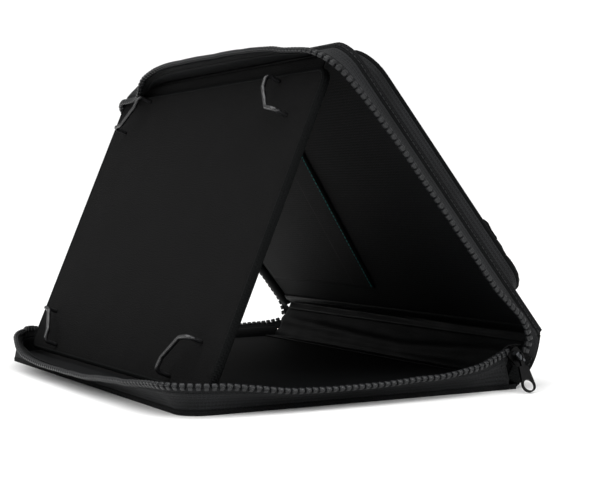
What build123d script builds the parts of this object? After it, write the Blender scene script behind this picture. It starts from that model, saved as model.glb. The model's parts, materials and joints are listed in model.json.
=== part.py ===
from build123d import *
import math
import os

# Tablet case: a zip-round folio of black woven cloth, standing open as an A-frame.
# Millimetres. X runs along the spine, -Y is the front edge, +Y the spine, Z is up.
# The origin is the centre of the base underside. Both halves are built lying flat and then placed.

# ---- the two halves ----
seam_width = 306.0  # between the two side seams
seam_depth = 200.0  # from the spine fold to the front seam
corner_radius = 13.0
outer_cloth = 1.0
board = 2.0
foam = 1.6
lining = 0.8
board_margin = 4.0  # seam to stiffener board
lining_margin = 2.2  # seam to lining edge
board_setback = 7.0  # fold line to board, so the fold can close
lining_setback = 4.2
cloth_setback = 1.2

# ---- edge bands, gussets and zip ----
base_band_height = 2.4
cover_band_height = 4.4
band_thickness = 1.2
seam_gap = 0.5  # gusset foot above the band
gusset_height = 12.0
gusset_cloth = 1.0
gusset_lining = 0.6
tape_height = 4.6
tape_thickness = 0.8
layer_gap = 0.06
spine_end = 15.0  # fold line to the end of the gussets
flare_run = 62.0  # along the seam, from an upright corner to the full lean
flare_shape = 0.6  # under 1, so that the lean comes on early
base_side_lean = 58.0
base_front_lean = 36.0
cover_side_lean = 52.0
cover_top_lean = 45.0
tooth_pitch = 3.85
tooth_length = 2.3
tooth_height = 3.2
tooth_thickness = 2.6
tooth_head_length = 3.0
tooth_head_height = 1.3
tooth_gap = 0.12
tooth_head_share = 0.7  # of the tooth's thickness
side_stations = 12
corner_stations = 5
front_stations = 9  # over half the front
pitch_steps = 1200

# ---- spine ----
spine_width = 36.0
spine_angle = 60.4  # above the table
spine_cloth = 1.0
spine_board = 1.6
spine_lining = 0.9
spine_fold_gap = 1.4
spine_board_setback = 4.0
spine_margin = 2.0
end_tab_length = 24.0
end_tab_depth = 9.0
end_tab_thickness = 1.2
end_tab_round = 6.3

# ---- cover pose and outer pocket ----
cover_angle = 52.5  # above the table
pocket_side_inset = 7.0
pocket_low = 20.0  # fold line to the pocket's lower edge
pocket_top_inset = 11.0
pocket_height = 9.0
pocket_radius = 18.0
pocket_cloth = 1.2
pocket_edge_round = 1.0
pocket_band = 1.6
pocket_zip_width = 5.0
pocket_zip_inset = 42.0  # pocket side to zip end
coil_width = 2.6
coil_height = 1.4
pocket_slider_length = 9.0
pocket_slider_width = 5.4
pocket_slider_height = 2.2
pocket_slider_round = 1.6
pocket_slider_air = 0.5  # coil to slider
pocket_tape_share = 0.6  # of the cloth's thickness
coil_round = 0.55
crown_radius = 0.45
crown_cheek = 0.7
crown_air = 0.35
pocket_pull_length = 22.0
pocket_pull_width = 5.0
pocket_pull_thickness = 1.4
pocket_pull_round = 2.0
pocket_pull_hole = (5.0, 2.0)
pocket_ring_radius = 1.5
pocket_wire_radius = 0.4
slip_height = 48.0
slip_cloth = 1.0
slip_hem_width = 8.0
slip_hem_cloth = 0.6
slip_hem_inset = 2.0

# ---- flat document pocket inside the cover ----
document_low = 26.0
document_high = 168.0
document_far_inset = 6.0
document_edge_low = 0.0
document_edge_high = 38.0
document_cloth = 0.7
document_band = 26.0
document_band_cloth = 0.5

# ---- tablet plate ----
plate_side_gap = 4.0  # side seam to the plate
plate_board = 2.4
plate_face = 0.8
plate_backing = 0.8
plate_rim = 1.2
plate_radius = 10.0
hinge_inset = 2.0  # free-edge seam to the plate hinge
hinge_clearance = 0.8  # plate back to cover lining when it is stowed
hinge_strip = 1.0
hinge_strip_length = 6.9
hinge_strip_past = 0.4  # beyond the hinge axis, clear of the gusset lining
foot_front = 14.5  # front seam to the plate's foot
foot_clearance = 0.4

# ---- tablet and its four elastic corner loops ----
tablet_thickness = 7.8
tablet_foot = 7.0  # plate foot to the tablet's lower edge
tablet_head = 6.67  # tablet's upper edge to the plate's
tablet_side = 29.0  # plate side to the tablet
loop_radius = 1.3
loop_air = 0.2
loop_reach_across = 23.0  # tablet corner to the loop, along the long edge
loop_reach_up = 20.0
loop_inner_across = 10.0
loop_inner_up = 7.5
loop_bend = 3.0
loop_slant = 1.5
knot_radius = 2.0
knot_height = 2.0
knot_hole = 2.6

# ---- main zip slider at the near end of the fold ----
slider_length = 10.5
slider_width = 8.0
slider_thickness = 5.0
slider_flange = 1.4
slider_round = 2.2
slider_post = (2.2, 3.7)  # the wedge that joins the flanges, across and along
slider_post_back = 3.15
slider_turn = 45.6  # below level, towards the spine
slider_out = 5.2  # side seam to the slider's centre
slider_before_fold = 5.4
slider_high = 19.0
slide_travel = 3.0
bridge_length = 7.0
bridge_width = 2.0
bridge_height = 3.8
bridge_wall = 1.1
pull_ring_radius = 2.4
pull_wire_radius = 0.45
pull_neck_width = 2.4
pull_neck_end = 5.5  # bridge bar to the wide part of the pull
pull_length = 15.0
pull_top_width = 5.8
pull_width = 8.4
pull_thickness = 1.6
pull_rim = 0.8  # round the hole in the free end
pull_hole_length = 6.4
pull_lean = 27.0  # outwards from upright

half_width = seam_width / 2
stack = outer_cloth + board + foam + lining


def spine_direction():
    a = math.radians(spine_angle)
    return Vector(0, math.cos(a), math.sin(a))


def spine_inward():
    a = math.radians(spine_angle)
    return Vector(0, -math.sin(a), math.cos(a))


def cover_up():
    a = math.radians(cover_angle)
    return Vector(0, -math.cos(a), math.sin(a))


def cover_inward():
    a = math.radians(cover_angle)
    return Vector(0, -math.sin(a), -math.cos(a))


# Places for the three folding panels: local x across, y away from the fold, z into the case.
fold_line = Vector(0, seam_depth / 2, 0)
cover_fold = fold_line + spine_direction() * spine_width
base_place = Plane(origin=fold_line, x_dir=(-1, 0, 0), z_dir=(0, 0, 1))
spine_place = Plane(origin=fold_line, x_dir=(1, 0, 0), z_dir=spine_inward())
cover_place = Plane(origin=cover_fold, x_dir=(1, 0, 0), z_dir=cover_inward())


def panel(start, margin, low, thickness):
    """A flat sheet with the half's outline, pulled in from the seam, square at the fold."""
    width = seam_width - 2 * margin
    length = seam_depth - margin - start
    sheet = Pos(0, start + length / 2, low + thickness / 2) * Box(width, length, thickness)
    free_corners = sheet.edges().filter_by(Axis.Z).group_by(Axis.Y)[-1]
    return fillet(free_corners, corner_radius - margin)


side_run = seam_depth - spine_end - corner_radius
corner_run = math.pi / 2 * corner_radius
front_run = seam_width - 2 * corner_radius
seam_length = 2 * side_run + 2 * corner_run + front_run


def seam_point(t):
    """Point and outward direction on the seam, t along it from the +x end of the fold."""
    if t > seam_length / 2:
        (x, y), (out_x, out_y) = seam_point(seam_length - t)
        return (-x, y), (-out_x, out_y)
    if t <= side_run:
        return (half_width, spine_end + t), (1.0, 0.0)
    centre_x = half_width - corner_radius
    if t <= side_run + corner_run:
        a = (t - side_run) / corner_radius
        out = (math.cos(a), math.sin(a))
        centre_y = seam_depth - corner_radius
        return (centre_x + corner_radius * out[0], centre_y + corner_radius * out[1]), out
    return (centre_x - (t - side_run - corner_run), seam_depth), (0.0, 1.0)


def lean(t, side_lean, front_lean):
    """How far the soft wall leans outwards, in radians: upright at the corners and at both ends."""
    corner = side_run + corner_run / 2
    stiff = (0.0, corner, seam_length - corner, seam_length)
    nearest = min(abs(t - s) for s in stiff)
    rise = math.sin(math.pi / 2 * min(1.0, nearest / flare_run)) ** flare_shape
    front = corner < t < seam_length - corner
    return math.radians((front_lean if front else side_lean) * rise)


def wall_frame(t, band_height, leans):
    """Foot of the soft wall at t, with its directions along, up the wall and inwards through it."""
    (x, y), (out_x, out_y) = seam_point(t)
    angle = lean(t, *leans)
    out = Vector(out_x, out_y, 0)
    foot = Vector(x, y, band_height + seam_gap)
    up = Vector(0, 0, math.cos(angle)) + out * math.sin(angle)
    inward = Vector(0, 0, math.sin(angle)) - out * math.cos(angle)
    return foot, up, inward


def wall_stations():
    """Distances along the seam where the wall's section is drawn: close at the ends and corners."""
    side = [side_run * k / side_stations for k in range(side_stations)]
    turn = [side_run + corner_run * k / corner_stations for k in range(corner_stations)]
    before = side_run + corner_run
    front = [before + front_run / 2 * k / front_stations for k in range(front_stations + 1)]
    half = side + turn + front
    other = [seam_length - t for t in reversed(half[:-1])]
    return half + other


def soft_wall(band_height, leans, low, high, outer, inner):
    """A leaning strip round three sides; outer and inner are offsets through its thickness."""
    sections = []
    for t in wall_stations():
        foot, up, inward = wall_frame(t, band_height, leans)
        corners = [
            foot + up * low + inward * outer,
            foot + up * low + inward * inner,
            foot + up * high + inward * inner,
            foot + up * high + inward * outer,
        ]
        sections.append(make_face(Polyline(*corners, close=True)))
    return loft(sections, ruled=True)


def edge_band(height):
    """Binding strip that closes the panel's edge round three sides."""
    outer = band_outline(band_thickness / 2)
    inner = band_outline(-band_thickness / 2)
    return extrude(outer - inner, height)


def band_outline(offset_out):
    """The half's outline grown by an offset, square at the fold."""
    length = seam_depth + offset_out - cloth_setback
    sheet = Pos(0, cloth_setback + length / 2) * Rectangle(seam_width + 2 * offset_out, length)
    corners = sheet.vertices().group_by(Axis.Y)[-1]
    return fillet(corners, corner_radius + offset_out)


def outer_panel():
    return panel(cloth_setback, band_thickness / 2 + layer_gap, 0, outer_cloth)


def stiffener():
    return panel(board_setback, board_margin, outer_cloth, board)


def foam_sheet():
    return panel(board_setback, board_margin, outer_cloth + board, foam)


def lining_sheet():
    return panel(lining_setback, lining_margin, outer_cloth + board + foam, lining)


def gusset(band_height, leans):
    return soft_wall(band_height, leans, 0, gusset_height, -gusset_cloth / 2, gusset_cloth / 2)


def gusset_inner(band_height, leans):
    low = gusset_cloth / 2 + layer_gap
    return soft_wall(band_height, leans, 0, gusset_height, low, low + gusset_lining)


def zip_tape(band_height, leans):
    low = gusset_height + layer_gap
    half = tape_thickness / 2
    return soft_wall(band_height, leans, low, low + tape_height, -half, half)


def tooth():
    """One moulded tooth, standing on the tape edge with its head up."""
    stem_height = tooth_height - tooth_head_height
    stem = Pos(0, 0, stem_height / 2) * Box(tooth_length, tooth_thickness, stem_height)
    head = Pos(0, 0, stem_height + tooth_head_height / 2)
    head_thickness = tooth_thickness * tooth_head_share
    return stem + head * Box(tooth_head_length, head_thickness, tooth_head_height)


def zip_teeth(band_height, leans):
    """The whole chain, spaced at the pitch along the tape's free edge."""
    top = gusset_height + tape_height + 2 * layer_gap + tooth_gap
    teeth = []
    walked = 0.0
    target = tooth_pitch
    before = None
    one = tooth()
    for k in range(pitch_steps + 1):
        foot, up, inward = wall_frame(seam_length * k / pitch_steps, band_height, leans)
        here = foot + up * top
        if before is not None:
            walked += (here - before).length
            if walked >= target:
                along = here - before
                along = along - up * along.dot(up)
                teeth.append(Plane(origin=here, x_dir=along, z_dir=up) * one)
                target += tooth_pitch
        before = here
    teeth.pop()
    return Compound(teeth)


def spine_sheet(start, margin, low, thickness):
    length = spine_width - 2 * start
    sheet = Pos(0, spine_width / 2, low + thickness / 2)
    return sheet * Box(seam_width - 2 * margin, length, thickness)


def spine_end_tab(side):
    """Rounded webbing tab that closes the fold's end, standing on the spine lining."""
    low = spine_cloth + spine_board + spine_lining
    tab = Box(end_tab_thickness, end_tab_length, end_tab_depth)
    rounded = tab.edges().filter_by(Axis.X).group_by(Axis.Z)[-1]
    tab = fillet(rounded, end_tab_round)
    x = side * (half_width - spine_margin - end_tab_thickness / 2)
    return Pos(x, spine_width / 2, low + end_tab_depth / 2) * tab


# ---- outer pocket, in the cover's local place; its cloth stands outwards, along -z ----
pocket_width = seam_width - 2 * pocket_side_inset
pocket_high = seam_depth - pocket_top_inset
pocket_length = pocket_high - pocket_low
pocket_mid = (pocket_high + pocket_low) / 2


def pocket_outline(inset):
    sheet = Pos(0, pocket_mid) * Rectangle(pocket_width - 2 * inset, pocket_length - 2 * inset)
    return fillet(sheet.vertices(), pocket_radius - inset)


def pocket_gusset():
    """Soft wall round the pocket, with the slot for the zip in its upper side."""
    ring = pocket_outline(0) - pocket_outline(pocket_cloth)
    wall = extrude(ring, -pocket_height)
    slot = Box(pocket_zip_length(), 4 * pocket_cloth, pocket_zip_width)
    return wall - Pos(0, pocket_high, -pocket_height / 2) * slot


def pocket_zip_length():
    return pocket_width - 2 * pocket_zip_inset


def pocket_zip_tape():
    tape = Box(
        pocket_zip_length() - 2 * layer_gap,
        pocket_cloth * pocket_tape_share,
        pocket_zip_width - 2 * layer_gap,
    )
    return Pos(0, pocket_high - pocket_cloth / 2, -pocket_height / 2) * tape


def pocket_tape_top():
    return pocket_high - pocket_cloth * (1 - pocket_tape_share) / 2


def pocket_zip_coil():
    length = pocket_zip_length() - 2 * pocket_zip_width
    coil = Box(length, coil_height, coil_width)
    coil = fillet(coil.edges().filter_by(Axis.X), coil_round)
    return Pos(0, pocket_tape_top() + coil_height / 2 + layer_gap, -pocket_height / 2) * coil


def pocket_slider_start():
    """Centre of the pocket slider at rest, at the far end of its zip."""
    x = -pocket_zip_length() / 2 + pocket_slider_length
    y = pocket_tape_top() + coil_height + pocket_slider_height / 2 + pocket_slider_air
    return Vector(x, y, -pocket_height / 2)


def crown_pivot():
    """Middle of the crown's bar, high enough for the pull's ring to turn under it."""
    start = pocket_slider_start()
    ring_reach = pocket_ring_radius + pocket_wire_radius + crown_air
    return start + Vector(0, pocket_slider_height / 2 + ring_reach, 0)


def pocket_zip_slider():
    """Slider body with a crown of two cheeks and a round bar."""
    start = pocket_slider_start()
    body = Box(pocket_slider_length, pocket_slider_height, pocket_slider_width)
    body = Pos(*start) * fillet(body.edges().filter_by(Axis.Y), pocket_slider_round)
    pivot = crown_pivot()
    half_gap = pocket_wire_radius + crown_air
    foot = start.Y + pocket_slider_height / 2
    height = pivot.Y + crown_radius - foot
    cheek = Box(4 * crown_radius, height, crown_cheek)
    for side in (1, -1):
        z = pivot.Z + side * (half_gap + crown_cheek / 2)
        body += Pos(pivot.X, foot + height / 2, z) * cheek
    return body + Pos(*pivot) * Cylinder(crown_radius, 2 * half_gap)


def pocket_zip_pull():
    """Flat pull lying along the coil, on a ring round the crown's bar."""
    pivot = crown_pivot()
    ring = Torus(pocket_ring_radius, pocket_wire_radius)
    body = Box(pocket_pull_length, pocket_pull_thickness, pocket_pull_width)
    body = fillet(body.edges().filter_by(Axis.Y), pocket_pull_round)
    hole_length, hole_width = pocket_pull_hole
    hole = Pos(pocket_pull_length / 4, 0, 0)
    body -= hole * Box(hole_length, 3 * pocket_pull_thickness, hole_width)
    body = Pos(pocket_ring_radius + pocket_pull_length / 2, 0, 0) * body
    return Pos(*pivot) * (ring + body)


def pocket_front():
    face = extrude(pocket_outline(pocket_band / 2 + layer_gap), -pocket_cloth)
    outer_edges = face.edges().group_by(Axis.Z)[0]
    return Pos(0, 0, -pocket_height - layer_gap) * fillet(outer_edges, pocket_edge_round)


def pocket_edge():
    """Binding round the front of the pocket."""
    ring = pocket_outline(-pocket_band / 2) - pocket_outline(pocket_band / 2)
    return Pos(0, 0, -pocket_height - layer_gap) * extrude(ring, -pocket_band)


def slip_shape(low, high, inset):
    """Part of the pocket's outline between two distances from its lower edge."""
    strip = Pos(0, pocket_low + (low + high) / 2) * Rectangle(2 * seam_width, high - low)
    return pocket_outline(inset) & strip


def slip_pocket():
    top = pocket_height + pocket_band + 2 * layer_gap
    return Pos(0, 0, -top) * extrude(slip_shape(0, slip_height, 0), -slip_cloth)


def slip_pocket_hem():
    top = pocket_height + pocket_band + slip_cloth + 3 * layer_gap
    strip = slip_shape(slip_height - slip_hem_width, slip_height, slip_hem_inset)
    return Pos(0, 0, -top) * extrude(strip, -slip_hem_cloth)


def document_outline(low_x, high_x):
    """Flat pocket against the lining, from the far side to a slanting mouth."""
    far = -half_width + document_far_inset
    return make_face(
        Polyline(
            (far, document_low),
            (low_x, document_low),
            (high_x, document_high),
            (far, document_high),
            close=True,
        )
    )


def document_pocket():
    low = Pos(0, 0, stack + layer_gap)
    return low * extrude(document_outline(document_edge_low, document_edge_high), document_cloth)


def document_pocket_band():
    """Reinforcing band along the mouth."""
    whole = document_outline(document_edge_low, document_edge_high)
    rest = document_outline(document_edge_low - document_band, document_edge_high - document_band)
    low = Pos(0, 0, stack + document_cloth + 2 * layer_gap)
    return low * extrude(whole - rest, document_band_cloth)


# ---- plate: local x across, local y up the plate from its foot, local z out of its face ----
plate_width = seam_width - 2 * plate_side_gap
plate_stack = plate_board + plate_face + plate_backing
stowed_gap = document_cloth + document_band_cloth + 2 * layer_gap + hinge_clearance
hinge_depth = stack + stowed_gap + plate_stack / 2
hinge_axis = (
    cover_fold
    + cover_up() * (seam_depth - hinge_inset)
    + cover_inward() * hinge_depth
)
foot_point = Vector(0, -seam_depth / 2 + foot_front, stack + foot_clearance + plate_stack / 2)
plate_up = (hinge_axis - foot_point).normalized()
plate_out = Vector(0, -plate_up.Z, plate_up.Y)
plate_place = Plane(origin=foot_point, x_dir=(1, 0, 0), z_dir=plate_out)
hinge_reach = (hinge_axis - foot_point).length
plate_length = hinge_reach + hinge_strip_past - hinge_strip_length - plate_rim / 2


def plate_sheet(inset, low, thickness):
    width = plate_width - 2 * inset
    length = plate_length - 2 * inset
    sheet = Pos(0, plate_length / 2, low + thickness / 2) * Box(width, length, thickness)
    return fillet(sheet.edges().filter_by(Axis.Z), plate_radius - inset)


def plate_rim_band():
    outer = plate_sheet(0, -plate_stack / 2, plate_stack)
    inner = plate_sheet(plate_rim, -plate_stack, 2 * plate_stack)
    return outer - inner


# ---- the tablet's space and its loops, in the plate's local place ----
tablet_width = plate_width - 2 * tablet_side
tablet_height = plate_length - tablet_foot - tablet_head


def loop_anchors():
    """Where each loop enters the plate: two points at every corner of the tablet."""
    edge = loop_radius + loop_air
    anchors = {}
    for name, side in (("near", 1), ("far", -1)):
        for level, y, up in (
            ("lower", tablet_foot, 1),
            ("upper", tablet_foot + tablet_height, -1),
        ):
            across = (side * (tablet_width / 2 - loop_reach_across), y - up * edge)
            upright = (side * (tablet_width / 2 + edge), y + up * loop_reach_up)
            anchors[f"{level}_{name}"] = (side, up, across, upright)
    return anchors


def plate_board_sheet():
    """Stiff board, drilled for the knots of the loops."""
    low = -plate_stack / 2 + plate_backing
    sheet = plate_sheet(plate_rim + layer_gap, low, plate_board)
    for side, up, across, upright in loop_anchors().values():
        for x, y in (across, upright):
            sheet -= Pos(x, y, 0) * Cylinder(knot_hole, plate_stack)
    return sheet


def loop_knots():
    low = -plate_stack / 2 + plate_backing
    knots = []
    for side, up, across, upright in loop_anchors().values():
        for x, y in (across, upright):
            knots.append(Pos(x, y, low + plate_board / 2) * Cylinder(knot_radius, knot_height))
    return Compound(knots)


def corner_loop(side, up, across, upright):
    """Round elastic cord, out of the plate, over the tablet's corner and back."""
    foot = plate_stack / 2 + loop_air + loop_radius
    over = plate_stack / 2 + tablet_thickness + loop_air + loop_radius
    inner_a = (across[0] + side * loop_slant, across[1] + up * loop_inner_up)
    inner_b = (upright[0] - side * loop_inner_across, upright[1] - up * loop_slant)
    points = [
        (*across, foot),
        (*across, over),
        (*inner_a, over),
        (*inner_b, over),
        (*upright, over),
        (*upright, foot),
    ]
    path = FilletPolyline(*points, radius=loop_bend)
    start = Plane(origin=points[0], z_dir=(0, 0, 1))
    cord = sweep(start * Circle(loop_radius), path=path)
    ends = [Pos(*points[0]) * Sphere(loop_radius), Pos(*points[-1]) * Sphere(loop_radius)]
    return cord + ends


def plate_hinge():
    """Cloth strip between the plate's upper edge and the cover's free edge."""
    y = plate_length + plate_rim / 2 + hinge_strip_length / 2
    return Pos(0, y, 0) * Box(plate_width - 2 * plate_radius, hinge_strip_length, hinge_strip)


# ---- main slider: local z along its travel, local y outwards from the case, local x across ----
slide_angle = math.radians(slider_turn)
slide_direction = Vector(0, math.cos(slide_angle), -math.sin(slide_angle))
slider_plane = Plane(
    origin=(half_width + slider_out, seam_depth / 2 - slider_before_fold, slider_high),
    x_dir=Vector(0, math.sin(slide_angle), math.cos(slide_angle)),
    z_dir=slide_direction,
)


def slider_body():
    """Two flanges joined by a wedge, as a moulded zip's slider has."""
    plate = Box(slider_width, slider_flange, slider_length)
    plate = fillet(plate.edges().filter_by(Axis.Y), slider_round)
    offset = (slider_thickness - slider_flange) / 2
    post_across, post_along = slider_post
    post = Box(post_across, slider_thickness - slider_flange * 2, post_along)
    wedge = Pos(0, 0, -slider_post_back) * post
    body = Pos(0, offset, 0) * plate + Pos(0, -offset, 0) * plate + wedge
    return slider_plane * body


def outward_sign():
    """The slider plane's local y points along +X or -X of the case; the bridge goes outside."""
    return 1 if slider_plane.y_dir.X > 0 else -1


def slider_bridge():
    sign = outward_sign()
    outer = Box(bridge_width, bridge_height, bridge_length)
    inner_box = Box(
        2 * bridge_width,
        bridge_height - bridge_wall,
        bridge_length - 2 * bridge_wall,
    )
    bridge = outer - Pos(0, -sign * bridge_wall / 2, 0) * inner_box
    y = sign * (slider_thickness / 2 + bridge_height / 2)
    return slider_plane * (Pos(0, y, 0) * bridge)


def pull_pivot():
    """Middle of the bridge's bar, which the pull's ring goes round."""
    y = outward_sign() * (slider_thickness / 2 + bridge_height - bridge_wall / 2)
    return slider_plane.from_local_coords(Vector(0, y, 0))


def pull_sheet():
    """Outline of the pull, widening to a round end with a large oval hole."""
    end_length = pull_hole_length / 2 + pull_rim
    middle = pull_neck_end + pull_length - end_length
    plate = make_face(
        Polyline(
            (-pull_top_width / 2, pull_neck_end),
            (pull_top_width / 2, pull_neck_end),
            (pull_width / 2, middle),
            (-pull_width / 2, middle),
            close=True,
        )
    )
    end = Pos(0, middle) * Ellipse(pull_width / 2, end_length)
    hole = Pos(0, middle) * Ellipse(pull_width / 2 - pull_rim, pull_hole_length / 2)
    return plate + end - hole


def zip_pull():
    """Flat pull with a ring round the bridge and a neck."""
    a = math.radians(pull_lean)
    down = Vector(math.sin(a), 0, -math.cos(a))
    place = Plane(origin=pull_pivot(), x_dir=(0, 1, 0), z_dir=down)
    body = Rot(90, 0, 0) * extrude(pull_sheet(), pull_thickness / 2, both=True)
    body = Rot(0, 0, 180) * body
    neck_length = pull_neck_end - pull_ring_radius + pull_wire_radius
    neck = Box(pull_neck_width, pull_thickness, neck_length)
    ring = Rot(0, 90, 0) * Torus(pull_ring_radius, pull_wire_radius)
    return place * (ring + Pos(0, 0, pull_ring_radius + neck_length / 2) * neck + body)


def write(name, shape, place=None):
    if place is not None:
        shape = place * shape
    export_step(shape, f"parts/{name}.step")


def build_half(name, place, band_height, leans):
    write(f"{name}_outer_panel", outer_panel(), place)
    write(f"{name}_board", stiffener(), place)
    write(f"{name}_foam", foam_sheet(), place)
    write(f"{name}_lining", lining_sheet(), place)
    write(f"{name}_edge_band", edge_band(band_height), place)
    write(f"{name}_gusset", gusset(band_height, leans), place)
    write(f"{name}_gusset_lining", gusset_inner(band_height, leans), place)
    write(f"{name}_zip_tape", zip_tape(band_height, leans), place)
    write(f"{name}_zip_teeth", zip_teeth(band_height, leans), place)


os.makedirs("parts", exist_ok=True)
build_half("base", base_place, base_band_height, (base_side_lean, base_front_lean))
build_half("cover", cover_place, cover_band_height, (cover_side_lean, cover_top_lean))

write("spine_outer", spine_sheet(spine_fold_gap, spine_margin, 0, spine_cloth), spine_place)
write(
    "spine_board",
    spine_sheet(spine_board_setback, 2 * spine_margin, spine_cloth, spine_board),
    spine_place,
)
write(
    "spine_lining",
    spine_sheet(spine_board_setback, spine_margin, spine_cloth + spine_board, spine_lining),
    spine_place,
)
write("spine_end_tab_near", spine_end_tab(1), spine_place)

write("pocket_gusset", pocket_gusset(), cover_place)
write("pocket_front", pocket_front(), cover_place)
write("pocket_edge_binding", pocket_edge(), cover_place)
write("pocket_zip_tape", pocket_zip_tape(), cover_place)
write("pocket_zip_coil", pocket_zip_coil(), cover_place)
write("pocket_zip_slider", pocket_zip_slider(), cover_place)
write("pocket_zip_pull", pocket_zip_pull(), cover_place)
write("slip_pocket", slip_pocket(), cover_place)
write("slip_pocket_hem", slip_pocket_hem(), cover_place)
write("document_pocket", document_pocket(), cover_place)
write("document_pocket_band", document_pocket_band(), cover_place)

face_low = plate_stack / 2 - plate_face
write("plate_board", plate_board_sheet(), plate_place)
write("plate_face", plate_sheet(plate_rim + layer_gap, face_low, plate_face), plate_place)
write(
    "plate_backing",
    plate_sheet(plate_rim + layer_gap, -plate_stack / 2, plate_backing),
    plate_place,
)
write("plate_rim_binding", plate_rim_band(), plate_place)
write("plate_hinge_strip", plate_hinge(), plate_place)
write("loop_knots", loop_knots(), plate_place)
for loop_name, anchor in loop_anchors().items():
    write(f"corner_loop_{loop_name}", corner_loop(*anchor), plate_place)

write("zip_slider_body", slider_body())
write("zip_slider_bridge", slider_bridge())
write("zip_pull", zip_pull())
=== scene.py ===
import json
import math

import bmesh
import bpy
import numpy as np
from mathutils import Matrix, Vector, noise


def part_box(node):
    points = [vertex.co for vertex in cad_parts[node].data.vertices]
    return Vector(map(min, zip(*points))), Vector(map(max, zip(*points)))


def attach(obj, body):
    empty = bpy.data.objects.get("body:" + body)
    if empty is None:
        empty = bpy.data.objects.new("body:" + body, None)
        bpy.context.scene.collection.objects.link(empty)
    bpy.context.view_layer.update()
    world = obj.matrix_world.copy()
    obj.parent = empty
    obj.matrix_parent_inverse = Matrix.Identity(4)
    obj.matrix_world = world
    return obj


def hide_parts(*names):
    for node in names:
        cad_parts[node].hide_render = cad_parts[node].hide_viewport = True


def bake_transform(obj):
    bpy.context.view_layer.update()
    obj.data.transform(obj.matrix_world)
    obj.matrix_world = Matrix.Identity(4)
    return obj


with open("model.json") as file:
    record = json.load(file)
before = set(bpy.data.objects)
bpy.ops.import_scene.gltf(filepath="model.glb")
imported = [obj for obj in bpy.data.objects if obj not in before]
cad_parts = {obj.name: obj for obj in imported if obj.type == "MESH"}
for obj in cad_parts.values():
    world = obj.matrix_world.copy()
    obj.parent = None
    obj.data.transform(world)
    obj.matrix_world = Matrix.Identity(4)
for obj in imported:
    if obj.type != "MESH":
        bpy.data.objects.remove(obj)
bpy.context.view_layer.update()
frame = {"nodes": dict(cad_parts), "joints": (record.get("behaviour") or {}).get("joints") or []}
hinges = {j["name"]: np.array(j["pos_m"]) * 1000 for j in frame["joints"] if "pos_m" in j}
nodes = frame["nodes"]

# ---- Studio ----
# A long lens stands low beside the open end of the case, over a pale floor.
# One broad soft light hangs overhead and two softboxes stand at the sides.
camera_place = Vector((0.8383, -0.3859, 0.1122))
camera_azimuth = math.radians(62.88)
camera_elevation = math.radians(1.92)
camera_roll = math.radians(-0.75)
lens_length = 89.7
floor_reach = 6.0


def linear(colour):
    """An sRGB hex colour as the linear values a shader works in."""
    parts = [int(colour[k : k + 2], 16) / 255 for k in (1, 3, 5)]
    return [p / 12.92 if p <= 0.04045 else ((p + 0.055) / 1.055) ** 2.4 for p in parts] + [1.0]


def add_node(tree, kind, inputs=None, **settings):
    """Adds one shader node. Inputs are values, or outputs of other nodes to link."""
    made = tree.nodes.new("ShaderNode" + kind)
    for name, value in settings.items():
        setattr(made, name, value)
    for socket, value in (inputs or {}).items():
        if isinstance(value, bpy.types.NodeSocket):
            tree.links.new(value, made.inputs[socket])
        else:
            made.inputs[socket].default_value = value
    return made


def start_material(name, **constants):
    """A material that is only a Principled shader, with its even values on its own sockets."""
    made = bpy.data.materials.new(name)
    made.use_nodes = True
    tree = made.node_tree
    tree.nodes.clear()
    values = {k.replace("_", " ").title().replace("Ior", "IOR"): v for k, v in constants.items()}
    shader = add_node(tree, "BsdfPrincipled", values)
    add_node(tree, "OutputMaterial", {"Surface": shader.outputs["BSDF"]})
    return made, tree, shader


def aim_camera():
    a, e, r = camera_azimuth, camera_elevation, camera_roll
    back = Vector((math.sin(a) * math.cos(e), -math.cos(a) * math.cos(e), math.sin(e)))
    right = (-back).cross(Vector((0, 0, 1))).normalized()
    up = back.cross(right)
    across = right * math.cos(r) + up * math.sin(r)
    upright = up * math.cos(r) - right * math.sin(r)
    lens = bpy.data.cameras.new("camera")
    lens.lens = lens_length
    made = bpy.data.objects.new("camera", lens)
    turn = Matrix((across, upright, back)).transposed().to_4x4()
    made.matrix_world = Matrix.Translation(camera_place) @ turn
    bpy.context.scene.collection.objects.link(made)
    bpy.context.scene.camera = made


def add_light(name, kind, place, power, **settings):
    """A lamp at a place, turned to the middle of the case."""
    lamp = bpy.data.lights.new(name, kind)
    lamp.energy = power
    for key, value in settings.items():
        setattr(lamp, key, value)
    made = bpy.data.objects.new(name, lamp)
    made.location = place
    sight = Vector((0, 0, 0.08)) - Vector(place)
    made.rotation_euler = sight.to_track_quat("-Z", "Y").to_euler()
    bpy.context.scene.collection.objects.link(made)


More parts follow.
